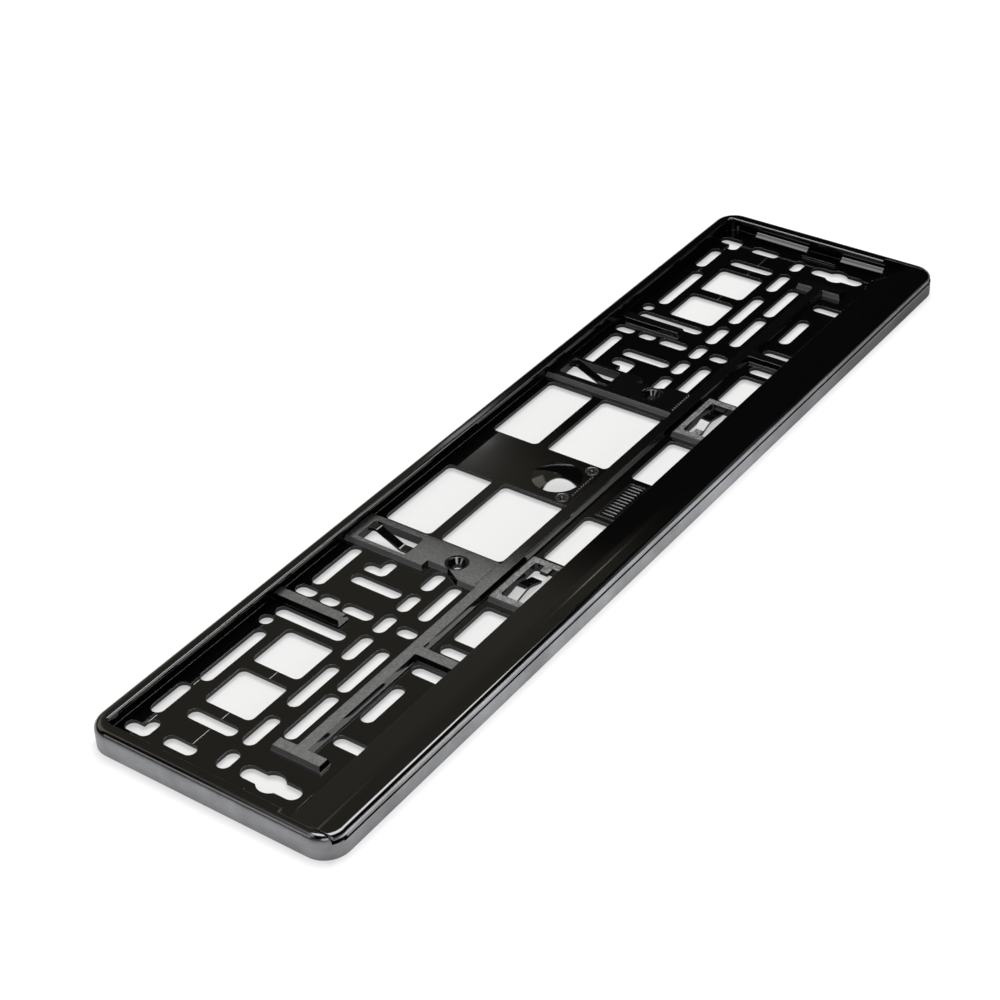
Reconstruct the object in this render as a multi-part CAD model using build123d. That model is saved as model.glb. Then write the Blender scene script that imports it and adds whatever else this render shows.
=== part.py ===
from build123d import *
import os
from math import atan, degrees

# Number plate holder, lying on its back as it would on a bench.
# X runs along the plate, Y from the front strip to the plain long side, Z out of the plate's face.
# The origin is the middle of the bottom face. All sizes are in millimetres.

# Plate and pocket
plate_length = 520.0
plate_height = 112.0
plate_play = 0.4            # clearance at each edge of the plate
pocket_r = 8.0              # plan radius of the pocket's corners

# Rim
rim_end = 4.6               # pocket wall to outer face, at the two ends
rim_top = 4.4               # the same along the plain long side
flange_end = 7.6            # width of the rim's flat top at the ends
flange_top = 6.6            # the same along the plain long side
rim_height = 11.5
lip_thick = 1.9
rim_edge_r = 3.2            # rounding of the outer top edge, carried on along the strip
lip_edge_r = 0.8            # rounding of the lip's inner edge
mouth_r = 2.5               # plan radius of the lip's inner corners
corner_r = 12.0             # plan radius of the outer corners
skin = 1.6                  # wall left around the channel behind the rim
end_lip_stop = 29.7         # front face to where the lips of the two ends stop

# Floor and the ribs that carry the plate
floor_base = 1.2            # floor's underside above the bottom edge of the rim
floor_thick = 1.9
rib_height = 2.8            # above the floor
rib_width = 5.4             # across the top
rib_draft = 0.8             # widening from the top to the foot, each side
rib_wall = 1.5              # wall left around the hollows behind the ribs
ridge_y = -16.3             # middle of the long ridge
tee_from_end = 36.9         # middle of the bar that ends the ridge, from the pocket's end
tee_front = 13.2            # reach of that bar from the ridge, towards the strip
tee_back = 11.8             # and away from it
branch_from_end = 116.3     # short ribs across the floor
branch_stop = 24.0          # where the upper ones end
branch_front = 15.0         # front face to the end of the lower ones

# Front wall and strip
strip_reach = 16.2          # plate's lower edge to the front face
strip_width = 27.2          # front face to the strip's inner edge
strip_thick = 1.9
strip_drop = 4.6            # strip's inner edge below the rim's top
strip_edge = 0.8            # thickness of the inner edge
strip_flat = 10.5           # level part behind the front edge
strip_bend_r = 25.0         # soft bend between the level and the sloping part
strip_gap = 0.8             # at each end of the strip
strip_end_r = 0.5           # rounding of the top edge at each end
skirt_thick = 1.8
front_wall = 2.1
front_wall_height = 6.9
wall_bevel_in = 0.4         # bevel along the top of the front wall
wall_bevel_down = 1.1
seam = 1.7                  # between the skirt's lower edge and the front wall
step_length = 5.0           # raised step of the front wall at each end
step_height = 1.0

# Snap hooks under the strip, and the posts that it rests on
hook_count = 6
hook_inset = 19.5           # strip's end to the first hook
hook_width = 8.0
hook_thick = 1.5
hook_bite = 1.3             # barb's reach under the floor
hook_from_front = 5.0
hook_room = 0.3             # clearance around the stem
barb_height = 1.0
barb_room = 0.1             # between the barb and the floor
post_length = 24.0
post_thick = 1.6
post_room = 0.1             # between a post and the round of the strip's front edge

# Holes of the floor
slot_w = 6.8
field_length = 166.2        # the holes' places are drawn for this length from a plateau to the pocket's end
field_rise = 78.4           # and this rise from the ridge to the long wall, and stretch with the two
ell_arm = 6.6               # width of the arms of the L-shaped slots
window_r = 3.0
window_in, window_out = 18.0, 70.5
hidden_slot_end = 20.0      # front face to the ends of the slots that the strip covers
hidden_window_end = 16.5    # the same for the windows
hidden_in, hidden_out = 18.8, 56.8
hidden_top = -24.0          # where those windows come out from under the strip
hidden_slot_top = -21.8
hidden_room = 4.3           # frame of a front spring to the window beside it

# Plateaus, springs and screw bosses, each given for the half towards +X
plateau_in = 74.0
plateau_out = 94.2
plateau_waist = 89.6        # outer side where the slots of the middle row start
plateau_jog = 17.0          # where the outer side steps in
waist_end = 4.5             # where the waist starts to slant out again
waist_out = -3.5            # and where the slant ends
waist_r = 2.0               # plan radius where the slant leaves the waist
spring_in, spring_out = 77.6, 92.0
spring_low = 28.0
spring_from_top = 5.6       # pocket wall to the far end of the spring's opening
leaf_thick = 1.4
leaf_width = 4.2
leaf_rise = 6.3             # crest above the root
leaf_rise_start = 7.5       # root to where the leaf starts to rise
leaf_crest = 4.0            # tip back to the crest
leaf_tip_room = 3.5         # tip to the end of the opening
leaf_tip_drop = 1.0
leaf_bend_r = 5.0
frame_in, frame_out = 61.0, 96.0
frame_top = -22.5
frame_wall = 3.5
bow_width = 5.4
bow_rise = 2.1
bow_y = -30.5
bow_rise_at = 0.09          # where the bow starts to rise, as a share of its length from the root
bow_crest_at = 0.57         # where its crest is
bow_bend = 0.45             # radius of its bends, as a share of its length
bow_tip_drop = 3.2
bow_tip_room = 1.7          # tip to the tongue that faces it
tongue_length = 4.3         # tongue of the frame's inner end, level with the ribs
tongue_width = 4.2
tongue_y = -33.4
boss_x, boss_y = 84.0, 4.3
boss_hole_d = 4.5
boss_sink_d = 9.0
boss_recess_d = 11.5        # shallow round recess around the countersink
boss_recess = 0.4
boss_ring = 1.8             # wall around the hole behind the plateau

# Middle of the floor
pad_half = 17.6
pad_raise = 0.5
pad_back = 25.0
dome_d = 25.0
dome_height = 2.2           # above the pad, so that the dome carries the plate too
dome_y = 5.5
panel_half, panel_low, panel_high = 15.5, -37.0, -26.5
panel_border = 1.0
panel_raise = 0.4

# Ends of the floor
cove_r = 6.2
cove_gap_low, cove_gap_high = -11.0, 10.0
cove_stop = 19.0            # pocket's long wall to the end of the cove
end_bar_from_end = 7.5
end_bar_width = 2.8
end_bar_raise = 1.2
stop_bar_in, stop_bar_out = 21.2, 11.2
stop_bar_width = 1.2
stop_bar_room = 2.4         # strip's inner edge to the bar

# Worked out from the sizes above
pocket_half = plate_length / 2 + plate_play
half_length = pocket_half + rim_end
half_width = (rim_top + plate_play + plate_height + strip_reach) / 2
pocket_top = half_width - rim_top
front = -half_width
pocket_front = front + front_wall
mouth_half = half_length - flange_end
mouth_top = half_width - flange_top
lip_base = rim_height - lip_thick
floor_top = floor_base + floor_thick
rib_top = floor_top + rib_height
hollow_top = rib_top - floor_thick
rib_taper = degrees(atan(rib_draft / rib_height))
end_lip_y = front + end_lip_stop
strip_inner = front + strip_width
strip_half = pocket_half - strip_gap
strip_base = rim_height - strip_thick
spring_high = pocket_top - spring_from_top
along = (pocket_half - plateau_out) / field_length
up = (pocket_top - ridge_y) / field_rise
tee_x = pocket_half - tee_from_end * along
branch_x = pocket_half - branch_from_end * along
leaf_tip = spring_high - spring_low - leaf_tip_room
bow_length = frame_out - frame_in - 2 * frame_wall - tongue_length - bow_tip_room
above = rim_height + 1      # a height clear of everything
sides = (-1, 1)


def area(x0, x1, y0, y1, radius=0.0):
    place = Pos((x0 + x1) / 2, (y0 + y1) / 2)
    if radius:
        return place * RectangleRounded(x1 - x0, y1 - y0, radius)
    return place * Rectangle(x1 - x0, y1 - y0)


def prism(sketch, low, high):
    return extrude(Pos(0, 0, low) * sketch, high - low)


def block(x0, x1, y0, y1, low, high, radius=0.0):
    return prism(area(x0, x1, y0, y1, radius), low, high)


def both(sketch):
    return sketch + mirror(sketch, about=Plane.YZ)


def outline(inset=0.0):
    return RectangleRounded(2 * (half_length - inset), 2 * (half_width - inset), corner_r - inset)


def slot_along_x(x, y, length, width=slot_w):
    return Pos(x, y) * SlotOverall(length, width)


def slot_along_y(x, y, length, width=slot_w):
    return Pos(x, y) * SlotOverall(length, width, rotation=90)


# Places in the field of holes, from the pocket's end and up from the ridge

def from_end(distance):
    return pocket_half - distance * along


def over_ridge(distance):
    return ridge_y + distance * up


# Slots at the two ends and between the ends and the plateaus

def outer_field():
    upper_row, lower_row, front_row = over_ridge(23.6), over_ridge(11.4), ridge_y - 9.2
    top_row, wall_row = over_ridge(68.6), over_ridge(70.5)
    rows_x = [
        (36.1, wall_row, 22.5),
        (72.6, over_ridge(66.5), 41.0),
        (148.2, top_row, 33.0),
        (81.8, front_row, 27.0),
    ]
    rows_x += [(d, upper_row, length) for d, length in (
        (19.4, 12.0), (40.8, 21.0), (75.3, 32.0), (105.9, 19.0),
        (125.6, 14.0), (143.3, 14.0), (161.8, 15.0))]
    rows_x += [(d, lower_row, length) for d, length in ((59.1, 33.0), (94.8, 33.0), (150.5, 29.0))]
    rows_y = [(d, over_ridge(rise), length) for d, rise, length in (
        (15.0, 46.3, 17.0), (33.5, 44.5, 26.5), (107.8, 51.8, 39.0), (125.6, 54.9, 10.3),
        (125.7, 38.8, 16.6), (145.2, 43.6, 28.0), (125.8, 11.2, 10.3), (125.6, 68.6, 11.4))]
    holes = [slot_along_x(from_end(d), y, length * along) for d, y, length in rows_x]
    holes += [slot_along_y(from_end(d), y, length * up) for d, y, length in rows_y]
    holes.append(Pos(from_end(99.5), wall_row) * Circle(slot_w / 2))

    # Slots and the window that run on under the strip
    low = front + hidden_slot_end
    for d, top in ((53.6, hidden_slot_top), (107.9, hidden_slot_top), (125.8, hidden_top)):
        holes.append(slot_along_y(from_end(d), (top + low) / 2, top - low))
    holes.append(area(frame_out + hidden_room, from_end(133.1),
                      front + hidden_window_end, hidden_top, window_r))

    # Two square windows
    square_x, square_y, square_mid = 26.0 * along, 26.6 * up, over_ridge(44.5)
    for d in (55.3, 87.1):
        x = from_end(d)
        holes.append(area(x - square_x / 2, x + square_x / 2,
                          square_mid - square_y / 2, square_mid + square_y / 2, window_r))

    # Slot with a round middle, and the two L-shaped slots
    lobe_x, lobe_y, lobe_d = from_end(18.2), ridge_y - 0.5, 12.8
    holes.append(slot_along_y(lobe_x, lobe_y, 31.0, 8.2) + Pos(lobe_x, lobe_y) * Circle(lobe_d / 2))
    for d, rise, x_reach, y_reach in ((10.4, 61.8, 11.5, 13.6), (151.8, 44.6, 12.7, 13.2)):
        holes.append(ell_slot(from_end(d), over_ridge(rise), x_reach * along, y_reach * up))
    return both(Sketch() + holes)


# An L of two slots that share the round end at its outer lower corner

def ell_slot(x_out, y_low, x_reach, y_reach):
    upright = slot_along_y(x_out - ell_arm / 2, y_low + y_reach / 2, y_reach, ell_arm)
    level = slot_along_x(x_out - x_reach / 2, y_low + ell_arm / 2, x_reach, ell_arm)
    return upright + level


# Windows of the middle field and the two screw holes

def middle_windows():
    upper = area(window_in, window_out, 30.2, pocket_top - 5.1, window_r)
    lower = area(window_in, window_out, -10.8, 24.5, window_r)
    covered = area(hidden_in, hidden_out, front + hidden_window_end, hidden_top, window_r)
    return both(Sketch() + [upper, lower, covered])


def spring_openings():
    leaf_room = area(spring_in, spring_out, spring_low, spring_high, window_r / 2)
    bow_room = area(frame_in + frame_wall, frame_out - frame_wall,
                    front + hidden_window_end, frame_top - frame_wall, window_r / 2)
    return both(Sketch() + [leaf_room, bow_room])


# The plan of everything that stands up to carry the plate, grown outwards by a margin

def rib_plan(grow):
    half = rib_width / 2 + grow
    ridge = area(-tee_x - half, tee_x + half, ridge_y - half, ridge_y + half)
    plan = [ridge]
    for side in sides:
        tee = side * tee_x
        branch = side * branch_x
        plan.append(area(tee - half, tee + half, ridge_y - tee_front - grow, ridge_y + tee_back + grow))
        plan.append(area(branch - half, branch + half, front + branch_front - grow, ridge_y))
        plan.append(area(branch - half, branch + half, branch_stop - grow, pocket_top + min(grow, 0)))
    return plan


def plateau_plan(grow):
    inner, outer, waist = plateau_in - grow, plateau_out + grow, plateau_waist + grow
    top, jog = pocket_top + min(grow, 0), plateau_jog - grow
    points = [(inner, ridge_y), (outer, ridge_y), (outer, waist_out + grow), (waist, waist_end + grow),
              (waist, jog), (outer, jog), (outer, top), (inner, top)]
    bends = [0, 0, 0, waist_r, 0, 0, 0, 0]
    return [both(make_face(FilletPolyline(*points, radius=bends, close=True)))]


def frame_plan(grow):
    return [both(area(frame_in - grow, frame_out + grow,
                      front + hidden_window_end - frame_wall, frame_top + grow))]


def raised_floor():
    foot = Sketch() + rib_plan(rib_draft) + plateau_plan(rib_draft) + frame_plan(rib_draft)
    return extrude(Pos(0, 0, floor_top) * foot, rib_height, taper=rib_taper)


# The hollows behind ribs and plateaus keep a wall round each opening and each screw hole

def hollows():
    kept = both(area(spring_in - rib_wall, spring_out + rib_wall,
                     spring_low - rib_wall, spring_high + rib_wall)
                + Pos(boss_x, boss_y) * Circle(boss_hole_d / 2 + boss_ring))
    plan = Sketch() + rib_plan(-rib_wall) + plateau_plan(-rib_wall)
    return prism(plan - kept, 0, hollow_top)


# The outer form that the frame and the strip share: a slab with a rounded top edge

def rounded_slab():
    slab = prism(outline(), 0, rim_height)
    return fillet(slab.edges().filter_by_position(Axis.Z, rim_height, rim_height), rim_edge_r)


# Rim, floor and front wall. The rim is a wall with a lip over the pocket on three sides.

def tray():
    mouth_low = end_lip_y - mouth_r
    body = rounded_slab() - block(-mouth_half, mouth_half, mouth_low, mouth_top, lip_base, above, mouth_r)
    lip_edges = (body.edges().filter_by_position(Axis.Z, rim_height, rim_height)
                 .filter_by_position(Axis.X, -mouth_half, mouth_half)
                 .filter_by_position(Axis.Y, mouth_low, mouth_top))
    body = fillet(lip_edges, lip_edge_r)
    body -= block(-pocket_half, pocket_half, pocket_front, pocket_top, floor_top, lip_base, pocket_r)

    # Bay for the strip, with a raised step of the front wall at each end
    step_x = pocket_half - step_length
    body -= block(-pocket_half, pocket_half, front - 1, end_lip_y, front_wall_height + step_height, above)
    body -= block(-step_x, step_x, front - 1, pocket_front, front_wall_height, above)
    bevel = make_face(Polyline((front, front_wall_height - wall_bevel_down), (front, front_wall_height),
                               (front + wall_bevel_in, front_wall_height), close=True))
    return body - extrude(Plane((-step_x, 0, 0), x_dir=(0, 1, 0), z_dir=(1, 0, 0)) * bevel, 2 * step_x)


# Recess under the floor, and the channel that keeps the rim's wall even

def back_hollow():
    recess = prism(outline(skin), 0, floor_base)
    pocket = area(-pocket_half - skin, pocket_half + skin,
                  pocket_front - skin, pocket_top + skin, pocket_r + skin)
    channel = (outline(skin) - pocket) & area(-half_length, half_length, end_lip_y - skin, half_width)
    return recess + prism(channel, floor_base, lip_base)


# Hollow fillet at the foot of each end wall, left out where the lip's core came through

def coves():
    section = Pos(-cove_r / 2, cove_r / 2) * Rectangle(cove_r, cove_r)
    section -= Pos(-cove_r, cove_r) * Circle(cove_r)
    pieces = []
    for low, high in ((end_lip_y, cove_gap_low), (cove_gap_high, pocket_top - cove_stop)):
        upright = Plane((pocket_half, high, floor_top), x_dir=(1, 0, 0), z_dir=(0, -1, 0))
        pieces.append(extrude(upright * section, high - low))
    bar = from_end(end_bar_from_end)
    pieces.append(block(bar - end_bar_width / 2, bar + end_bar_width / 2,
                        cove_gap_low, cove_gap_high, floor_top, floor_top + end_bar_raise))
    bar_y = strip_inner + stop_bar_room
    pieces.append(block(from_end(stop_bar_in), from_end(stop_bar_out),
                        bar_y, bar_y + stop_bar_width, floor_top, floor_top + end_bar_raise))
    half = Part() + pieces
    return half + mirror(half, about=Plane.YZ)


# Leaf springs: a strip of constant thickness along a bent line, in a plane across the floor

def bent_leaf(points, bends, plane, width):
    line = FilletPolyline(*points, radius=bends)
    section = make_face(offset(line, leaf_thick / 2, side=Side.BOTH))
    return extrude(plane * section, width / 2, both=True)


def springs():
    root = floor_top - leaf_thick / 2
    leaf_points = [(spring_low - rib_wall / 2, root), (spring_low + leaf_rise_start, root),
                   (spring_low + leaf_tip - leaf_crest, root + leaf_rise),
                   (spring_low + leaf_tip, root + leaf_rise - leaf_tip_drop)]
    leaf_plane = Plane(((spring_in + spring_out) / 2, 0, 0), x_dir=(0, 1, 0), z_dir=(1, 0, 0))
    leaf = bent_leaf(leaf_points, [leaf_bend_r, leaf_bend_r / 2], leaf_plane, leaf_width)

    bow_root = frame_out - frame_wall
    bow_points = [(bow_root + frame_wall / 2, root), (bow_root - bow_rise_at * bow_length, root),
                  (bow_root - bow_crest_at * bow_length, root + bow_rise),
                  (bow_root - bow_length, root + bow_rise - bow_tip_drop)]
    bow_plane = Plane((0, bow_y, 0), x_dir=(1, 0, 0), z_dir=(0, -1, 0))
    bow_bends = [bow_bend * bow_length] * 2
    bow = bent_leaf(bow_points, bow_bends, bow_plane, bow_width)
    tongue = block(frame_in + frame_wall / 2, frame_in + frame_wall + tongue_length,
                   tongue_y - tongue_width / 2, tongue_y + tongue_width / 2, rib_top - floor_thick, rib_top)
    half = leaf + bow + tongue
    return half + mirror(half, about=Plane.YZ)


# Raised pad with its round dome, and the bare bordered panel in front of the ridge

def middle_pad():
    pad = block(-pad_half, pad_half, ridge_y, pad_back, floor_top, floor_top + pad_raise)
    dome = ball(0) & Pos(0, dome_y, floor_top) * extrude(Circle(dome_d), rib_height)
    panel = area(-panel_half, panel_half, panel_low, panel_high)
    field = area(-panel_half + panel_border, panel_half - panel_border,
                 panel_low + panel_border, panel_high - panel_border)
    return pad + dome + prism(panel - field, floor_top, floor_top + panel_raise)


# The ball that the dome is a cap of. Taken in by the wall's thickness, it hollows the dome from behind.

def ball(inset):
    radius = (dome_d ** 2 / 4 + dome_height ** 2) / (2 * dome_height)
    return Pos(0, dome_y, floor_top + pad_raise + dome_height - radius) * Sphere(radius - inset)


def hook_places():
    first = strip_half - hook_inset
    pitch = 2 * first / (hook_count - 1)
    return [-first + i * pitch for i in range(hook_count)]


# Posts on the front wall, halfway between the hooks.
# They stand behind the skirt up to the strip's underside.

def posts():
    behind = front + rim_edge_r + post_room
    section = make_face(Polyline(
        (pocket_front, floor_top), (pocket_front, front_wall_height), (behind, front_wall_height),
        (behind, strip_base), (behind + post_thick, strip_base),
        (behind + post_thick, floor_top), close=True))
    places = hook_places()
    starts = [(a + b) / 2 - post_length / 2 for a, b in zip(places, places[1:])]
    return Part() + [extrude(Plane((x, 0, 0), x_dir=(0, 1, 0), z_dir=(1, 0, 0)) * section, post_length)
                     for x in starts]


def hook_slots():
    stem_front = front + hook_from_front
    half = hook_width / 2 + hook_room
    return Part() + [block(x - half, x + half, stem_front - hook_room, stem_front + hook_thick + hook_room,
                           0, floor_top + 1) for x in hook_places()]


def screw_holes():
    depth = (boss_sink_d - boss_hole_d) / 2
    half = Pos(boss_x, boss_y, 0) * extrude(Circle(boss_hole_d / 2), rib_top)
    sink_top = rib_top - boss_recess
    half += Pos(boss_x, boss_y, sink_top - depth / 2) * Cone(boss_hole_d / 2, boss_sink_d / 2, depth)
    half += Pos(boss_x, boss_y, sink_top) * extrude(Circle(boss_recess_d / 2), boss_recess)
    return half + mirror(half, about=Plane.YZ)


def backing_frame():
    body = tray() - back_hollow()
    body += raised_floor()
    body += middle_pad()
    body -= hollows()
    body -= ball(floor_thick)
    body -= prism(outer_field(), 0, floor_top + pad_raise / 2)
    body -= prism(middle_windows(), 0, floor_top + pad_raise * 2)
    body -= prism(spring_openings(), 0, rib_top + 1)
    body -= screw_holes()
    body += coves()
    body += posts()
    body -= hook_slots()
    return body + springs()


# The strip is level behind its front edge and slopes down to the plate. The slab rounds its front edge.

def strip_section():
    bend = front + strip_flat
    edge_top = rim_height - strip_drop
    slope = strip_drop / (strip_inner - bend)
    edge_base = edge_top - strip_edge
    under = strip_inner - (strip_thick - strip_edge) / slope
    inside = front + skirt_thick
    skirt_base = front_wall_height + seam
    points = [(strip_inner, edge_base), (strip_inner, edge_top), (bend, rim_height), (front, rim_height),
              (front, skirt_base), (inside, skirt_base), (inside, strip_base), (bend, strip_base),
              (under, edge_base)]
    edge_r = strip_edge / 2.5
    bends = [0, edge_r, strip_bend_r, 0, 0, 0, 0, strip_bend_r, 0]
    return make_face(FilletPolyline(*points, radius=bends, close=True))


def front_strip():
    across = Plane((-strip_half, 0, 0), x_dir=(0, 1, 0), z_dir=(1, 0, 0))
    bar = extrude(across * strip_section(), 2 * strip_half) & rounded_slab()
    upper = bar.faces().filter_by(lambda face: face.normal_at().Z > 0.1).edges()
    ends = [upper.filter_by_position(Axis.X, side * strip_half, side * strip_half) for side in sides]
    bar = fillet(ends[0] + ends[1], strip_end_r)

    # The skirt clears the front wall's step at each end
    step_x = strip_half + strip_gap - step_length - seam
    for side in sides:
        x0, x1 = sorted((side * step_x, side * half_length))
        bar -= block(x0, x1, front - 1, front + skirt_thick + 1, 0, front_wall_height + step_height + seam)

    # Snap hooks: a stem through the floor, with a barb below it
    stem = front + hook_from_front
    barb_top = floor_base - barb_room
    hook = make_face(Polyline(
        (stem, strip_base + strip_thick / 2), (stem, barb_top - barb_height),
        (stem + hook_thick, barb_top - barb_height), (stem + hook_thick + hook_bite, barb_top),
        (stem + hook_thick, barb_top), (stem + hook_thick, strip_base + strip_thick / 2), close=True))
    for x in hook_places():
        start = Plane((x - hook_width / 2, 0, 0), x_dir=(0, 1, 0), z_dir=(1, 0, 0))
        bar += extrude(start * hook, hook_width)
    return bar


os.makedirs("parts", exist_ok=True)
export_step(backing_frame(), "parts/backing_frame.step")
export_step(front_strip(), "parts/front_strip.step")
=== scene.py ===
import bpy
import math
import numpy as np
from mathutils import Euler, Matrix, Vector


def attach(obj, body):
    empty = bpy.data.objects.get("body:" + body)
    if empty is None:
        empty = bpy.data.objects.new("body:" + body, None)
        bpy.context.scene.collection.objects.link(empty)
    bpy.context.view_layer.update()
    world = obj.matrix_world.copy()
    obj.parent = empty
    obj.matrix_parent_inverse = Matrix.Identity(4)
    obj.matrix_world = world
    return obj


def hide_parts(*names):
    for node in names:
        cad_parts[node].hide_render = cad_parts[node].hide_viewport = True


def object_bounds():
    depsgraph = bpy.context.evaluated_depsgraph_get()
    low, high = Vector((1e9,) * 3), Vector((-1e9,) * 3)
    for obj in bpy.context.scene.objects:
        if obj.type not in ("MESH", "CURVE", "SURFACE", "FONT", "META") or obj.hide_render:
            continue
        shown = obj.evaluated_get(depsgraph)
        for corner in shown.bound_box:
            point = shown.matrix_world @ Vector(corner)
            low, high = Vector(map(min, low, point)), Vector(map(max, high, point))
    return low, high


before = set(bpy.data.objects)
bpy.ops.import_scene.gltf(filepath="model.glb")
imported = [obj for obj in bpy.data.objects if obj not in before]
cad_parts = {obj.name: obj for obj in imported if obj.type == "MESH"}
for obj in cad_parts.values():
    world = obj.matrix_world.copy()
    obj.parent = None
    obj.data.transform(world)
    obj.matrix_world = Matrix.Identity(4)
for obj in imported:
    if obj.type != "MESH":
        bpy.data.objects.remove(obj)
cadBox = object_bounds()
scene = bpy.context.scene
scene.view_settings.view_transform = "Standard"
print("frame loaded:", sorted(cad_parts))

mm = 0.001
cadLow, cadHigh = [np.array(corner) / mm for corner in cadBox]
levels = {"floor": 3.1, "pad": 3.6, "ribTop": 5.9}      # mm, the tray's level faces


# sRGB hex to the linear values that shaders use
def linear(hexColour):
    channels = [int(hexColour[i:i + 2], 16) / 255 for i in (1, 3, 5)]
    return [c / 12.92 if c <= 0.04045 else ((c + 0.055) / 1.055) ** 2.4 for c in channels]


# adds a node, sets its properties and sockets, and links the sockets that are given an output
def addNode(tree, kind, props=None, sockets=None):
    node = tree.nodes.new(kind)
    for name, value in (props or {}).items():
        setattr(node, name, value)
    for key, value in (sockets or {}).items():
        if isinstance(value, bpy.types.NodeSocket):
            tree.links.new(value, node.inputs[key])
        else:
            node.inputs[key].default_value = value
    return node


def newMaterial(name):
    material = bpy.data.materials.new(name)
    material.use_nodes = True
    material.node_tree.nodes.clear()
    return material, material.node_tree


# Moulded black ABS. The faces that the polished tool made are a deep mirror black. The tops of the ribs
# keep the fine grain of spark erosion, duller on the near half than on the far half, with a painted sheen
# in the near half's lighter tone. The ends of the plateaus are coarser and painted paler as lit faces, and
# the etched outer wall is a mottled satin grey that is partly painted sheen, with painted shade towards its
# ends.
blackAbs = {
    "ior": 1.72, "shine": 0.5,              # matched to the object, ABS is usually about 1.53
    "polished": "#040404", "polishedRough": 0.07,
    "flowWave": 35.0, "flowDepth": 0.05, "flowDetail": 1.0,     # mm, long slow waves of the cooled melt
    "edgeRound": 0.35, "edgeSamples": 4,                        # mm
    # rib tops: mm along the plate where dull turns to gloss, and the grain in mm, drawn coarser than
    # the real 0.2. The dull half's lighter tone is painted sheen
    "eroded": "#060606", "dullWithSheen": "#2a2a28", "dullRough": 0.36, "glossRough": 0.1, "glossGrain": 0.2,
    "dullTo": -92.0, "glossFrom": -48.0, "topBand": 0.15, "levelFace": 0.98,
    "erodedGrain": 0.9, "grainDepth": 0.11, "grainDetail": 3.0, "grainMix": 0.6,
    "speckle": (0.4, 0.66, 0.15, 2.5),                          # noise from and to, tone from and to
    # rails round the springs, in mm. Their pale speckled tone is painted sparkle
    "rail": "#525250", "railRough": 0.34,
    "railIn": 39.0, "railOut": 98.0, "railFront": -48.0, "railBack": -23.0,
    # drafted ends: how far they face along the plate, mm about their middle, and the ribs that stay polished.
    # Their pale tone is painted light, for the lamp at the left
    "litRibEnd": "#5c5c5e", "ribEndRough": 0.45, "endFacing": 0.96, "endSpread": 0.025, "endBand": 1.45,
    "branchX": 144.1, "branchHalf": 6.0,
    # etched wall: mm across a blotch, and along the wall where painted shade darkens the walls facing along Y
    # towards both ends
    # the etched grey is partly the satin finish and partly painted sheen, standing for the floor's light that
    # the wall reflects
    "etchedWithSheen": "#6a6b70", "etchedRough": 0.36, "etchedShine": 0.75,
    "etchedPatch": 26.0, "patchDetail": 5.0, "patchMix": 0.65, "patchTone": (0.35, 0.68, 0.6, 1.5),
    "wallShadeMiddle": -60.0, "wallShadeFull": 60.0, "wallShadeEnd": 270.0, "wallShadeLeft": 0.25,
    "wallFade": (0.42, 0.76, 1.0, 0.0),                 # rise of the normal from and to, share of etch
    "cornerR": 12.0, "wallBand": 2.4, "seamDepth": 0.5, "seamTop": 8.9,     # mm, it stops inside the seam
}
rangeSockets = ("From Min", "From Max", "To Min", "To Max")


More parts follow.
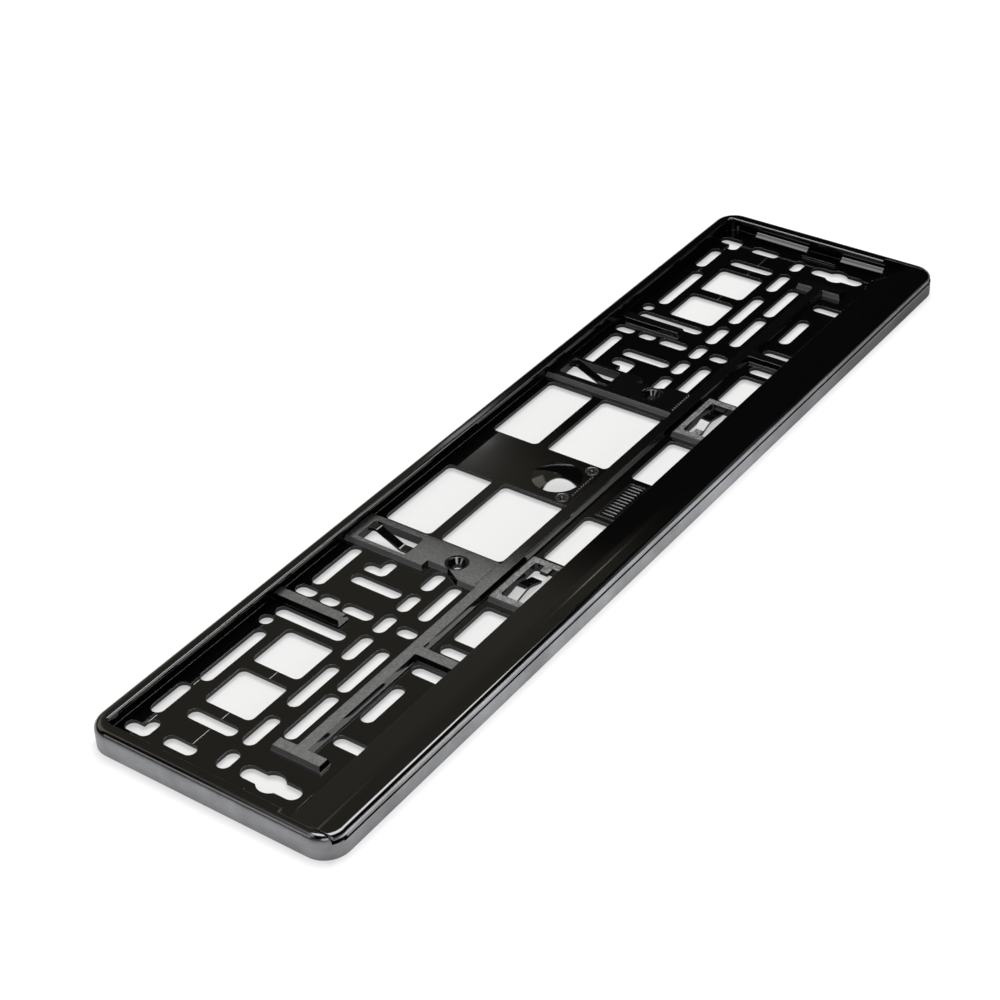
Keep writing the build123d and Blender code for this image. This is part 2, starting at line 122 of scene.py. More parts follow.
def mouldedAbs(name):
    spec = blackAbs
    material, tree = newMaterial(name)
    place = addNode(tree, "ShaderNodeTexCoord").outputs["Object"]
    split = addNode(tree, "ShaderNodeSeparateXYZ", sockets={0: place})
    shape = addNode(tree, "ShaderNodeNewGeometry")
    facing = addNode(tree, "ShaderNodeSeparateXYZ", sockets={0: shape.outputs["Normal"]})

    # etched wall: the band along the rounded outline, fading out where the rounding turns upwards
    inner = [high - spec["cornerR"] for high in cadHigh[:2]]
    size = addNode(tree, "ShaderNodeVectorMath", {"operation": "ABSOLUTE"}, {0: place})
    past = addNode(tree, "ShaderNodeVectorMath", {"operation": "SUBTRACT"}, {
        0: size.outputs[0], 1: (inner[0] * mm, inner[1] * mm, 1.0)})
    beyond = addNode(tree, "ShaderNodeVectorMath", {"operation": "MAXIMUM"}, {
        0: past.outputs[0], 1: (0, 0, 0)})
    reach = addNode(tree, "ShaderNodeVectorMath", {"operation": "LENGTH"}, {0: beyond.outputs[0]})
    outside = addNode(tree, "ShaderNodeMath", {"operation": "GREATER_THAN"}, {
        0: reach.outputs["Value"], 1: (spec["cornerR"] - spec["wallBand"]) * mm})
    outermost = addNode(tree, "ShaderNodeMath", {"operation": "GREATER_THAN"}, {
        0: reach.outputs["Value"], 1: (spec["cornerR"] - spec["seamDepth"]) * mm})
    aboveSeam = addNode(tree, "ShaderNodeMath", {"operation": "GREATER_THAN"}, {
        0: split.outputs["Z"], 1: spec["seamTop"] * mm})
    outOfSeam = addNode(tree, "ShaderNodeMath", {"operation": "MAXIMUM"}, {
        0: outermost.outputs[0], 1: aboveSeam.outputs[0]})
    outside = addNode(tree, "ShaderNodeMath", {"operation": "MULTIPLY"}, {
        0: outside.outputs[0], 1: outOfSeam.outputs[0]})
    upright = addNode(tree, "ShaderNodeMapRange", sockets={
        "Value": facing.outputs["Z"], **dict(zip(rangeSockets, spec["wallFade"]))})
    wall = addNode(tree, "ShaderNodeMath", {"operation": "MULTIPLY"}, {
        0: outside.outputs[0], 1: upright.outputs[0]})

    # spark-eroded tops: level faces at the height of the ribs
    height = addNode(tree, "ShaderNodeMath", {"operation": "COMPARE"}, {
        0: split.outputs["Z"], 1: levels["ribTop"] * mm, 2: spec["topBand"] * mm})
    level = addNode(tree, "ShaderNodeMath", {"operation": "GREATER_THAN"}, {
        0: facing.outputs["Z"], 1: spec["levelFace"]})
    ribTop = addNode(tree, "ShaderNodeMath", {"operation": "MULTIPLY"}, {
        0: height.outputs[0], 1: level.outputs[0]})
    # the near half of the rib tops is rougher, and its lighter tone is painted sheen; the far half stays
    # glossy black
    gloss = addNode(tree, "ShaderNodeMapRange", {"interpolation_type": "SMOOTHSTEP"}, {
        "Value": split.outputs["X"], "From Min": spec["dullTo"] * mm, "From Max": spec["glossFrom"] * mm})
    erodedRough = addNode(tree, "ShaderNodeMix", {"data_type": "FLOAT"}, {
        "Factor": gloss.outputs[0], 2: spec["dullRough"], 3: spec["glossRough"]})
    topGrain = addNode(tree, "ShaderNodeMix", {"data_type": "FLOAT"}, {
        "Factor": gloss.outputs[0], 2: 1.0, 3: spec["glossGrain"]})

    # rails round the bow springs: the same height, inside the springs' own area
    fromMiddle = addNode(tree, "ShaderNodeMath", {"operation": "ABSOLUTE"}, {0: split.outputs["X"]})
    railAlong = addNode(tree, "ShaderNodeMath", {"operation": "COMPARE"}, {
        0: fromMiddle.outputs[0], 1: (spec["railIn"] + spec["railOut"]) / 2 * mm,
        2: (spec["railOut"] - spec["railIn"]) / 2 * mm})
    railAcross = addNode(tree, "ShaderNodeMath", {"operation": "COMPARE"}, {
        0: split.outputs["Y"], 1: (spec["railFront"] + spec["railBack"]) / 2 * mm,
        2: (spec["railBack"] - spec["railFront"]) / 2 * mm})
    railArea = addNode(tree, "ShaderNodeMath", {"operation": "MULTIPLY"}, {
        0: railAlong.outputs[0], 1: railAcross.outputs[0]})
    rail = addNode(tree, "ShaderNodeMath", {"operation": "MULTIPLY"}, {
        0: railArea.outputs[0], 1: ribTop.outputs[0]})

    # ends of the plateaus and of the ridge: drafted faces that look along the plate, above the floor. Their
    # paler tone is painted light, for the lamp at the left that lights faces looking along the plate
    endwise = addNode(tree, "ShaderNodeMath", {"operation": "ABSOLUTE"}, {0: facing.outputs["X"]})
    endFace = addNode(tree, "ShaderNodeMath", {"operation": "COMPARE"}, {
        0: endwise.outputs[0], 1: spec["endFacing"], 2: spec["endSpread"]})
    endHeight = addNode(tree, "ShaderNodeMath", {"operation": "COMPARE"}, {
        0: split.outputs["Z"], 1: (levels["floor"] + levels["ribTop"]) / 2 * mm, 2: spec["endBand"] * mm})
    drafted = addNode(tree, "ShaderNodeMath", {"operation": "MULTIPLY"}, {
        0: endFace.outputs[0], 1: endHeight.outputs[0]})
    branch = addNode(tree, "ShaderNodeMath", {"operation": "COMPARE"}, {
        0: fromMiddle.outputs[0], 1: spec["branchX"] * mm, 2: spec["branchHalf"] * mm})
    litRibEnd = addNode(tree, "ShaderNodeMath", {"operation": "SUBTRACT", "use_clamp": True}, {
        0: drafted.outputs[0], 1: branch.outputs[0]})

    # grain of the rougher finishes, and the blotches of the etch
    grain = addNode(tree, "ShaderNodeTexNoise", sockets={
        "Vector": place, "Scale": 1 / (spec["erodedGrain"] * mm),
        "Detail": spec["grainDetail"], "Roughness": spec["grainMix"]})
    speckle = addNode(tree, "ShaderNodeMapRange", sockets={
        "Value": grain.outputs["Fac"], **dict(zip(rangeSockets, spec["speckle"]))})
    # the near tops' lighter tone is painted sheen, and the rails' pale speckle is painted sparkle
    nearSheenTone, railSparkleTone = [addNode(tree, "ShaderNodeMix", {"data_type": "RGBA", "blend_type": "MULTIPLY"}, {
        "Factor": 1.0, 6: linear(spec[finish]) + [1], 7: speckle.outputs[0]}) for finish in ("dullWithSheen", "rail")]
    topToneWithSheen = addNode(tree, "ShaderNodeMix", {"data_type": "RGBA"}, {
        "Factor": gloss.outputs[0], 6: nearSheenTone.outputs[2], 7: linear(spec["eroded"]) + [1]})
    patch = addNode(tree, "ShaderNodeTexNoise", sockets={
        "Vector": place, "Scale": 1 / (spec["etchedPatch"] * mm),
        "Detail": spec["patchDetail"], "Roughness": spec["patchMix"]})
    patchTone = addNode(tree, "ShaderNodeMapRange", sockets={
        "Value": patch.outputs["Fac"], **dict(zip(rangeSockets, spec["patchTone"]))})
    # painted shade: the walls that face along Y get darker away from the middle, towards both ends
    offMiddle = addNode(tree, "ShaderNodeMath", {"operation": "SUBTRACT"}, {
        0: split.outputs["X"], 1: spec["wallShadeMiddle"] * mm})
    offMiddle = addNode(tree, "ShaderNodeMath", {"operation": "ABSOLUTE"}, {0: offMiddle.outputs[0]})
    wallShadeFall = addNode(tree, "ShaderNodeMapRange", {"interpolation_type": "SMOOTHSTEP"}, {
        "Value": offMiddle.outputs[0],
        "From Min": spec["wallShadeFull"] * mm, "From Max": spec["wallShadeEnd"] * mm,
        "To Min": 1.0, "To Max": spec["wallShadeLeft"]})
    sideways = addNode(tree, "ShaderNodeMath", {"operation": "ABSOLUTE"}, {0: facing.outputs["Y"]})
    wallShadeShare = addNode(tree, "ShaderNodeMix", {"data_type": "FLOAT"}, {
        "Factor": sideways.outputs[0], 2: 1.0, 3: wallShadeFall.outputs[0]})
    mottleAndShade = addNode(tree, "ShaderNodeMath", {"operation": "MULTIPLY"}, {
        0: patchTone.outputs[0], 1: wallShadeShare.outputs[0]})
    etchedSheenAndShade = addNode(tree, "ShaderNodeMix", {"data_type": "RGBA", "blend_type": "MULTIPLY"}, {
        "Factor": 1.0, 6: linear(spec["etchedWithSheen"]) + [1], 7: mottleAndShade.outputs[0]})

    # colour and roughness: each finish, with the painted sheen or shade in its colour, is laid over the one
    # before it
    tone = addNode(tree, "ShaderNodeMix", {"data_type": "RGBA"}, {
        "Factor": ribTop.outputs[0], 6: linear(spec["polished"]) + [1], 7: topToneWithSheen.outputs[2]})
    rough = addNode(tree, "ShaderNodeMix", {"data_type": "FLOAT"}, {
        "Factor": ribTop.outputs[0], 2: spec["polishedRough"], 3: erodedRough.outputs[0]})
    shine = addNode(tree, "ShaderNodeMix", {"data_type": "FLOAT"}, {
        "Factor": wall.outputs[0], 2: spec["shine"], 3: spec["etchedShine"]})
    for mask, colour, roughness in (
            (rail, railSparkleTone.outputs[2], spec["railRough"]),
            (litRibEnd, linear(spec["litRibEnd"]) + [1], spec["ribEndRough"]),
            (wall, etchedSheenAndShade.outputs[2], spec["etchedRough"])):
        tone = addNode(tree, "ShaderNodeMix", {"data_type": "RGBA"}, {
            "Factor": mask.outputs[0], 6: tone.outputs[2], 7: colour})
        rough = addNode(tree, "ShaderNodeMix", {"data_type": "FLOAT"}, {
            "Factor": mask.outputs[0], 2: rough.outputs[0], 3: roughness})

    # bump: slow flow waves everywhere, and grain on the rougher finishes
    flow = addNode(tree, "ShaderNodeTexNoise", sockets={
        "Vector": place, "Scale": 1 / (spec["flowWave"] * mm), "Detail": spec["flowDetail"]})
    rounded = addNode(tree, "ShaderNodeBevel", {"samples": spec["edgeSamples"]}, {
        "Radius": spec["edgeRound"] * mm})
    flowBump = addNode(tree, "ShaderNodeBump", sockets={
        "Strength": 1.0, "Distance": spec["flowDepth"] * mm, "Height": flow.outputs["Fac"],
        "Normal": rounded.outputs[0]})
    grainy = addNode(tree, "ShaderNodeMath", {"operation": "MULTIPLY"}, {
        0: ribTop.outputs[0], 1: topGrain.outputs[0]})
    for mask in (rail, litRibEnd, wall):
        grainy = addNode(tree, "ShaderNodeMath", {"operation": "MAXIMUM"}, {
            0: grainy.outputs[0], 1: mask.outputs[0]})
    grainBump = addNode(tree, "ShaderNodeBump", sockets={
        "Strength": grainy.outputs[0], "Distance": spec["grainDepth"] * mm, "Height": grain.outputs["Fac"],
        "Normal": flowBump.outputs[0]})

    surface = addNode(tree, "ShaderNodeBsdfPrincipled", sockets={
        "Base Color": tone.outputs[2], "Roughness": rough.outputs[0], "IOR": spec["ior"],
        "Specular IOR Level": shine.outputs[0], "Normal": grainBump.outputs[0]})
    addNode(tree, "ShaderNodeOutputMaterial", sockets={"Surface": surface.outputs[0]})
    return material


# Black ABS of the small moulded marks: less glossy than the polished faces, and painted paler as a painted
# sparkle, so that low relief shows as fine specks
marks = {"colour": "#343434", "rough": 0.2}


def markAbs(name):
    material, tree = newMaterial(name)
    surface = addNode(tree, "ShaderNodeBsdfPrincipled", sockets={
        "Base Color": linear(marks["colour"]) + [1], "Roughness": marks["rough"], "IOR": blackAbs["ior"]})
    addNode(tree, "ShaderNodeOutputMaterial", sockets={"Surface": surface.outputs[0]})
    return material


frameAbs = mouldedAbs("blackAbsFrame")
stripAbs = mouldedAbs("blackAbsStrip")
reliefSparkleAbs = markAbs("mattAbsMarksPaintedSparkle")
print("materials done")


# points closer than the weld step become one, and triangles that shrink to a line are dropped
def weld(points, triangles, step=0.0005):
    keys = np.round(points / step).astype(np.int64)
    _, first, merged = np.unique(keys, axis=0, return_index=True, return_inverse=True)
    corners = merged.reshape(-1)[triangles]
    a, b, c = corners.T
    return points[first], corners[(a != b) & (b != c) & (c != a)]


# a piece from points in mm and triangles. They are turned outwards by the sign of the enclosed volume,
# and edges that turn by more than the crease, in degrees, stay sharp.
def newPiece(name, points, triangles, material, slotName, crease=32):
    points, triangles = weld(points, triangles)
    a, b, c = [points[triangles[:, i]] for i in range(3)]
    if np.einsum("ij,ij->", a, np.cross(b, c)) < 0:
        triangles = triangles[:, ::-1]
    mesh = bpy.data.meshes.new(name)
    mesh.from_pydata((points * mm).tolist(), [], triangles.tolist())
    mesh.materials.append(material)
    mesh.shade_smooth()
    mesh.set_sharp_from_angle(angle=math.radians(crease))
    piece = bpy.data.objects.new(name, mesh)
    scene.collection.objects.link(piece)
    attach(piece, "root")
    return piece


# Walls and cones of small round holes turn further from facet to facet than the other roundings do. Their
# facets' normals all rise alike, so an edge between two faces of about the same rise has a wider crease.
roundWalls = {"riseGap": 0.03, "crease": 32}       # difference of the normals' Z, degrees


def smoothRoundWalls(mesh):
    edgeOf = np.empty(len(mesh.loops), np.int32)
    mesh.loops.foreach_get("edge_index", edgeOf)
    normals = np.empty(len(mesh.polygons) * 3, np.float32)
    mesh.polygons.foreach_get("normal", normals)
    order = np.argsort(edgeOf, kind="stable")
    first = np.searchsorted(edgeOf[order], np.arange(len(mesh.edges)))
    second = np.minimum(first + 1, len(order) - 1)
    sides = normals.reshape(-1, 3)[order[np.stack([first, second], 1)] // 3]
    turn = np.einsum("ij,ij->i", sides[:, 0], sides[:, 1])
    alike = np.abs(sides[:, 0, 2] - sides[:, 1, 2]) < roundWalls["riseGap"]
    sharp = np.empty(len(mesh.edges), bool)
    mesh.attributes["sharp_edge"].data.foreach_get("value", sharp)
    sharp[alike & (turn > math.cos(math.radians(roundWalls["crease"])))] = False
    mesh.attributes["sharp_edge"].data.foreach_set("value", sharp)


# The two mouldings: the CAD node's own triangles, welded, so that its rounded edges shade smoothly
def moulding(nodeName, pieceName, material, slotName, crease):
    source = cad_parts[nodeName].data
    points = np.empty(len(source.vertices) * 3, np.float32)
    source.vertices.foreach_get("co", points)
    corners = np.empty(len(source.loops), np.int32)
    source.loops.foreach_get("vertex_index", corners)
    piece = newPiece(pieceName, points.reshape(-1, 3).astype(float) / mm, corners.reshape(-1, 3),
                     material, slotName, crease)
    smoothRoundWalls(piece.data)
    flatter = piece.modifiers.new("flatFaces", "WEIGHTED_NORMAL")
    flatter.keep_sharp = True
    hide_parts(nodeName)
    return piece


moulding("backing_frame", "frameMoulding", frameAbs, "frame_plastic", 11.5)   # its roundings turn 10 a step
moulding("front_strip", "stripMoulding", stripAbs, "strip_plastic", 25)
print("mouldings done")


# triangles of a grid of rows by columns
def gridTriangles(rows, columns):
    index = np.arange(rows * columns).reshape(rows, columns)
    a, b, c, d = index[:-1, :-1], index[1:, :-1], index[1:, 1:], index[:-1, 1:]
    return np.concatenate([np.stack([a, b, c], -1).reshape(-1, 3), np.stack([a, c, d], -1).reshape(-1, 3)])


# one surface set down at many places
def repeated(points, triangles, places):
    count = len(points)
    offsets = np.arange(len(places)) * count
    return ((points[None] + np.asarray(places, float)[:, None]).reshape(-1, 3),
            (triangles[None] + offsets[:, None, None]).reshape(-1, 3))


# A low bar along X. Its section is an ellipse of the given width and height, whose size along the bar is
# the root of one less the eighth power of the distance from the middle, so that both ends close roundly.
def lowBar(length, width, height, rows=15, columns=13):
    along = np.sin(np.linspace(-math.pi / 2, math.pi / 2, rows))[:, None]
    turn = np.linspace(0, 2 * math.pi, columns)[None, :]
    swell = np.sqrt(np.maximum(1 - along ** 8, 0))
    points = np.stack([along * length / 2 + 0 * turn, width / 2 * swell * np.cos(turn),
                       height * swell * np.sin(turn)], -1)
    return points.reshape(-1, 3), gridTriangles(rows, columns)


# Witness lines of the mould between the holes of each end. Each run: its y, and where it starts and stops
# from the pocket's end, in mm.
witness = {"width": 0.5, "height": 0.12, "pocketEnd": 260.4,
           "runs": ((26.2, 18.4, 30.1), (26.2, 36.9, 42.3), (26.2, 68.3, 74.1),
                    (51.5, 18.5, 24.8), (51.5, 47.4, 52.1))}
lines = []
for y, near, far in witness["runs"]:
    bar, triangles = lowBar(far - near, witness["width"], witness["height"])
    middle = witness["pocketEnd"] - (near + far) / 2
    lines.append(repeated(bar, triangles, [(side * middle, y, levels["floor"]) for side in (-1, 1)]))
counts = np.cumsum([0] + [len(points) for points, _ in lines])
newPiece("witnessLines", np.concatenate([points for points, _ in lines]),
         np.concatenate([triangles + start for (_, triangles), start in zip(lines, counts)]),
         reliefSparkleAbs, "frame_plastic")


# Plain grip ribs across the bordered panel in front of the ridge
grip = {"count": 11, "pitch": 2.5, "length": 7.4, "width": 1.0, "height": 0.42, "y": -31.8}
bar, triangles = lowBar(grip["length"], grip["width"], grip["height"])
bar = bar[:, [1, 0, 2]]                                 # turned to run along Y
starts = (np.arange(grip["count"]) - (grip["count"] - 1) / 2) * grip["pitch"]
newPiece("gripRibs", *repeated(bar, triangles, [(x, grip["y"], levels["floor"]) for x in starts]),
         reliefSparkleAbs, "frame_plastic")


# A pip: an ellipsoid, set half into the face. Its height is the sine and its radius the cosine of the rise.
def pip(radius, height, rows=9, columns=13):
    rise = np.linspace(-math.pi / 2, math.pi / 2, rows)[:, None]
    turn = np.linspace(0, 2 * math.pi, columns)[None, :]
    points = np.stack([radius * np.cos(rise) * np.cos(turn), radius * np.cos(rise) * np.sin(turn),
                       height * np.sin(rise) + 0 * turn], -1)
    return points.reshape(-1, 3), gridTriangles(rows, columns)


# Rows of cavity pips: between the two stamps on the pad, and on each plateau beside the ridge
pips = {"radius": 0.62, "height": 0.5, "pitch": 1.9, "padCount": 10, "padY": -9.2,
        "plateauCount": 9, "plateauX": 84.5, "plateauY": -12.6}
rowPlaces = [((i - (pips["padCount"] - 1) / 2) * pips["pitch"], pips["padY"], levels["pad"])
             for i in range(pips["padCount"])]
rowPlaces += [(side * pips["plateauX"] + (i - (pips["plateauCount"] - 1) / 2) * pips["pitch"],
               pips["plateauY"], levels["ribTop"])
              for side in (-1, 1) for i in range(pips["plateauCount"])]
newPiece("cavityPips", *repeated(*pip(pips["radius"], pips["height"]), rowPlaces), reliefSparkleAbs, "frame_plastic")


# Round mould stamps on the pad. From the middle outwards the height follows a hub, a dial with raised ticks
# and a ring, each a smooth hump of the radius, and the ticks a power of the cosine of the angle. Only the
# rim goes below the face, and the disc's underside closes it inside the pad.
stamp = {"radius": 3.5, "hub": 0.7, "tickFrom": 1.3, "tickTo": 2.4, "ticks": 12, "ring": 3.0,
         "ringHalf": 0.35, "height": 0.4, "sunk": 0.15, "x": 13.0, "y": -6.0}


def roundStamp(spec, rows=30, columns=97):
    radius = np.linspace(0, spec["radius"], rows)[:, None]
    turn = np.linspace(0, 2 * math.pi, columns)[None, :]
    hub = np.clip(1 - (radius / spec["hub"]) ** 4, 0, 1)
    ring = np.clip(1 - ((radius - spec["ring"]) / spec["ringHalf"]) ** 4, 0, 1)
    middle = (spec["tickFrom"] + spec["tickTo"]) / 2
    half = (spec["tickTo"] - spec["tickFrom"]) / 2
    dial = np.clip(1 - ((radius - middle) / half) ** 4, 0, 1)
    tick = np.clip(np.cos(turn * spec["ticks"]), 0, 1) ** 0.5
    atRim = np.arange(rows)[:, None] == rows - 1
    relief = spec["height"] * np.maximum(np.maximum(hub, ring) + 0 * turn, dial * tick)
    relief = relief - spec["sunk"] * atRim
    upper = np.stack([radius * np.cos(turn), radius * np.sin(turn), relief], -1)
    lower = upper[::-1] * (1, 1, 0) - (0, 0, 2 * spec["sunk"])
    points = np.concatenate([upper, lower])
    return points.reshape(-1, 3), gridTriangles(2 * rows, columns)


stampPlaces = [(side * stamp["x"], stamp["y"], levels["pad"]) for side in (-1, 1)]
newPiece("mouldStamps", *repeated(*roundStamp(stamp), stampPlaces), reliefSparkleAbs, "frame_plastic")
print("mould marks done")


# Pale paper floor, wide enough to fill every view. Part of its white is its own for the camera and for
# reflections, as on a lit paper sweep, and the rest takes the shadow. Under the object the paper is a shade
# darker, more so where it is only mirrored, and what is mirrored of it falls off towards the far end. That
# stands for studio light that the lamps here don't give.
floorSheet = {"half": 20.0, "colour": "#f7f7f6", "ownLight": 0.55,         # m
              "underShade": 0.81, "underMirror": 0.45, "underSoft": 6.0,    # share, share, mm
              "fallFrom": 40.0, "fallTo": 250.0, "fallLeft": 0.3}           # mm, mm, the share left
half = floorSheet["half"]
floorMesh = bpy.data.meshes.new("paperFloor")
corners = [(-half, -half, 0), (half, -half, 0), (half, half, 0), (-half, half, 0)]
floorMesh.from_pydata(corners, [], [(0, 1, 2, 3)])
floor = bpy.data.objects.new("paperFloor", floorMesh)
scene.collection.objects.link(floor)
paper, tree = newMaterial("matteWhitePaper")
place = addNode(tree, "ShaderNodeTexCoord").outputs["Object"]
size = addNode(tree, "ShaderNodeVectorMath", {"operation": "ABSOLUTE"}, {0: place})
past = addNode(tree, "ShaderNodeVectorMath", {"operation": "SUBTRACT"}, {
    0: size.outputs[0], 1: (cadHigh[0] * mm, cadHigh[1] * mm, 0)})
pastParts = addNode(tree, "ShaderNodeSeparateXYZ", sockets={0: past.outputs[0]})
outermost = addNode(tree, "ShaderNodeMath", {"operation": "MAXIMUM"}, {
    0: pastParts.outputs["X"], 1: pastParts.outputs["Y"]})
under = addNode(tree, "ShaderNodeMapRange", sockets={
    "Value": outermost.outputs[0], "From Min": -floorSheet["underSoft"] * mm, "From Max": 0.0,
    "To Min": floorSheet["underShade"], "To Max": 1.0})
path = addNode(tree, "ShaderNodeLightPath")
along = addNode(tree, "ShaderNodeSeparateXYZ", sockets={0: place})
fall = addNode(tree, "ShaderNodeMapRange", {"interpolation_type": "SMOOTHSTEP"}, {
    "Value": along.outputs["X"],
    "From Min": floorSheet["fallFrom"] * mm, "From Max": floorSheet["fallTo"] * mm,
    "To Min": 1.0, "To Max": floorSheet["fallLeft"]})
underMirror = addNode(tree, "ShaderNodeMapRange", sockets={
    "Value": outermost.outputs[0], "From Min": -floorSheet["underSoft"] * mm, "From Max": 0.0,
    "To Min": floorSheet["underMirror"], "To Max": 1.0})
mirror = addNode(tree, "ShaderNodeMath", {"operation": "MULTIPLY"}, {
    0: fall.outputs[0], 1: underMirror.outputs[0]})
mirrored = addNode(tree, "ShaderNodeMix", {"data_type": "FLOAT"}, {
    "Factor": path.outputs["Is Glossy Ray"], 2: 1.0, 3: mirror.outputs[0]})
shade = addNode(tree, "ShaderNodeMath", {"operation": "MULTIPLY"}, {
    0: under.outputs[0], 1: mirrored.outputs[0]})
seen = addNode(tree, "ShaderNodeMath", {"operation": "MAXIMUM"}, {
    0: path.outputs["Is Camera Ray"], 1: path.outputs["Is Glossy Ray"]})
seen = addNode(tree, "ShaderNodeMath", {"operation": "MAXIMUM"}, {
    0: seen.outputs[0], 1: path.outputs["Is Transmission Ray"]})
ownShare = addNode(tree, "ShaderNodeMath", {"operation": "MULTIPLY"}, {
    0: seen.outputs[0], 1: floorSheet["ownLight"]})
tone = addNode(tree, "ShaderNodeMix", {"data_type": "RGBA", "blend_type": "MULTIPLY"}, {
    "Factor": 1.0, 6: linear(floorSheet["colour"]) + [1], 7: shade.outputs[0]})
shaded = addNode(tree, "ShaderNodeBsdfDiffuse", sockets={"Color": tone.outputs[2]})
glow = addNode(tree, "ShaderNodeEmission", sockets={"Color": shade.outputs[0], "Strength": 1.0})
paperMix = addNode(tree, "ShaderNodeMixShader", sockets={
    0: ownShare.outputs[0], 1: shaded.outputs[0], 2: glow.outputs[0]})
addNode(tree, "ShaderNodeOutputMaterial", sockets={"Surface": paperMix.outputs[0]})
floorMesh.materials.append(paper)
print("floor done")


# unit vector from a bearing and a rise in degrees
def towards(bearing, rise):
    b, r = math.radians(bearing), math.radians(rise)
    return Vector((math.cos(b) * math.cos(r), math.sin(b) * math.cos(r), math.sin(r)))


# Dark studio with a white sweep along the horizon and soft lamps far away. Each lamp: bearing, rise,
# half width, half height and turn in degrees, soft edge as a share, radiance, round or not, colour.
studio = {"sweepTop": 4.0, "sweepEnd": 9.0, "sweepLight": 0.85, "dark": 0.006}      # degrees, radiance
softLamps = {
    "backSoftbox": (27, 67.3, 18.6, 18.6, 0, 0.05, 8.8, True, "#ffffff"),
    "leftSoftbox": (108, 64, 12, 5, 0, 0.2, 3.0, False, "#ffffff"),
    "rightPanel": (-68, 9, 21, 15, 0, 0.22, 5.0, False, "#ffffff"),
    "oliveWall": (68, 31, 23, 20, 17, 0.06, 0.15, False, "#fff8e2"),
    "oliveCeiling": (51, 40.7, 16, 8, -29, 0.05, 0.15, False, "#fff8e2"),
    "oliveCard": (76, 38, 18, 12, -25, 0.1, 0.9, False, "#fff9e6"),
    "leftStrip": (143, 37, 9, 3, 0, 0.3, 4.0, False, "#ffffff"),
    "leftCard": (140, 50, 10, 10, 0, 0.2, 1.6, False, "#ffffff"),
    "cameraFill": (-140, 45, 15, 15, 0, 0.2, 4.0, True, "#ffffff"),
    "smallSpot": (-28, 38, 3, 3, 0, 0.4, 1.4, True, "#ffffff"),
    "doorGap": (37.9, 33.4, 0.8, 0.5, 0, 0.4, 2.2, False, "#ffffff"),
}
world = bpy.data.worlds.new("studio")
world.use_nodes = True
tree = world.node_tree
tree.nodes.clear()
scene.world = world
ray = addNode(tree, "ShaderNodeTexCoord").outputs["Object"]
ray = addNode(tree, "ShaderNodeVectorMath", {"operation": "NORMALIZE"}, {0: ray}).outputs[0]
rayParts = addNode(tree, "ShaderNodeSeparateXYZ", sockets={0: ray})
sweep = addNode(tree, "ShaderNodeMapRange", {"interpolation_type": "SMOOTHSTEP"}, {
    "Value": rayParts.outputs["Z"], "From Min": math.sin(math.radians(studio["sweepTop"])),
    "From Max": math.sin(math.radians(studio["sweepEnd"])),
    "To Min": studio["sweepLight"], "To Max": studio["dark"]})
light = addNode(tree, "ShaderNodeCombineXYZ", sockets={i: sweep.outputs[0] for i in range(3)}).outputs[0]

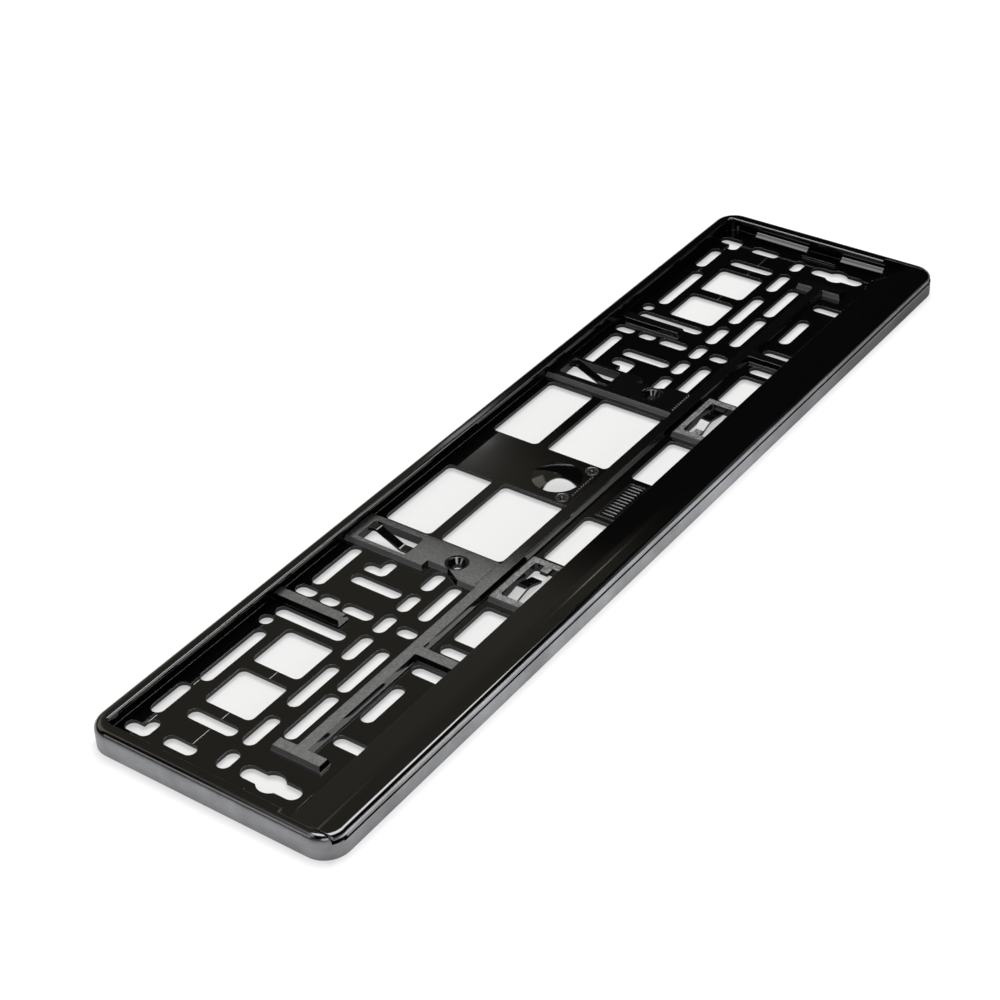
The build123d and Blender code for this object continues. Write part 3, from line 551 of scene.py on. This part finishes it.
for lampName, (bearing, rise, wide, tall, turn, soft, radiance, isRound, colour) in softLamps.items():
    aim = towards(bearing, rise)
    turned = Matrix.Rotation(math.radians(turn), 3, aim)
    side = turned @ towards(bearing + 90, 0)
    top = aim.cross(side)
    reaches = []
    for axis, halfAngle in ((side, wide), (top, tall)):
        part = addNode(tree, "ShaderNodeVectorMath", {"operation": "DOT_PRODUCT"}, {0: ray, 1: axis})
        part = addNode(tree, "ShaderNodeMath", {"operation": "DIVIDE"}, {
            0: part.outputs["Value"], 1: math.sin(math.radians(halfAngle))})
        reaches.append(addNode(tree, "ShaderNodeMath", {"operation": "ABSOLUTE"}, {
            0: part.outputs[0]}).outputs[0])
    if isRound:
        joined = addNode(tree, "ShaderNodeCombineXYZ", sockets={0: reaches[0], 1: reaches[1]})
        reach = addNode(tree, "ShaderNodeVectorMath", {"operation": "LENGTH"}, {
            0: joined.outputs[0]}).outputs["Value"]
    else:
        reach = addNode(tree, "ShaderNodeMath", {"operation": "MAXIMUM"}, {
            0: reaches[0], 1: reaches[1]}).outputs[0]
    edge = addNode(tree, "ShaderNodeMapRange", {"interpolation_type": "SMOOTHSTEP"}, {
        "Value": reach, "From Min": 1 - soft, "From Max": 1 + soft, "To Min": 1.0, "To Max": 0.0})
    ahead = addNode(tree, "ShaderNodeVectorMath", {"operation": "DOT_PRODUCT"}, {0: ray, 1: aim})
    ahead = addNode(tree, "ShaderNodeMath", {"operation": "GREATER_THAN"}, {
        0: ahead.outputs["Value"], 1: 0.0})
    lit = addNode(tree, "ShaderNodeMath", {"operation": "MULTIPLY"}, {
        0: edge.outputs[0], 1: ahead.outputs[0]})
    tint = [channel * radiance for channel in linear(colour)]
    shone = addNode(tree, "ShaderNodeVectorMath", {"operation": "MULTIPLY"}, {0: lit.outputs[0], 1: tint})
    light = addNode(tree, "ShaderNodeVectorMath", {"operation": "MAXIMUM"}, {
        0: light, 1: shone.outputs[0]}).outputs[0]

path = addNode(tree, "ShaderNodeLightPath")
backdrop = addNode(tree, "ShaderNodeMix", {"data_type": "RGBA"}, {
    "Factor": path.outputs["Is Camera Ray"], 6: light, 7: (1, 1, 1, 1)})
background = addNode(tree, "ShaderNodeBackground", sockets={"Color": backdrop.outputs[2], "Strength": 1.0})
addNode(tree, "ShaderNodeOutputWorld", sockets={"Surface": background.outputs[0]})
print("light done")


# Camera of the photograph, solved from the mirror-symmetric holes
view = {"place": (-721.72, -497.63, 617.67), "turn": (54.518, 2.141, -54.806), "lens": 79.72, "film": 36.0,
        "clipStart": 0.05}
camera = bpy.data.cameras.new("photoCamera")
camera.lens = view["lens"]
camera.sensor_width = view["film"]
camera.sensor_height = view["film"]
camera.clip_start = view["clipStart"]
cameraObject = bpy.data.objects.new("photoCamera", camera)
cameraObject.location = Vector(view["place"]) * mm
cameraObject.rotation_euler = Euler([math.radians(a) for a in view["turn"]], "XYZ")
scene.collection.objects.link(cameraObject)
scene.camera = cameraObject
print("camera done")
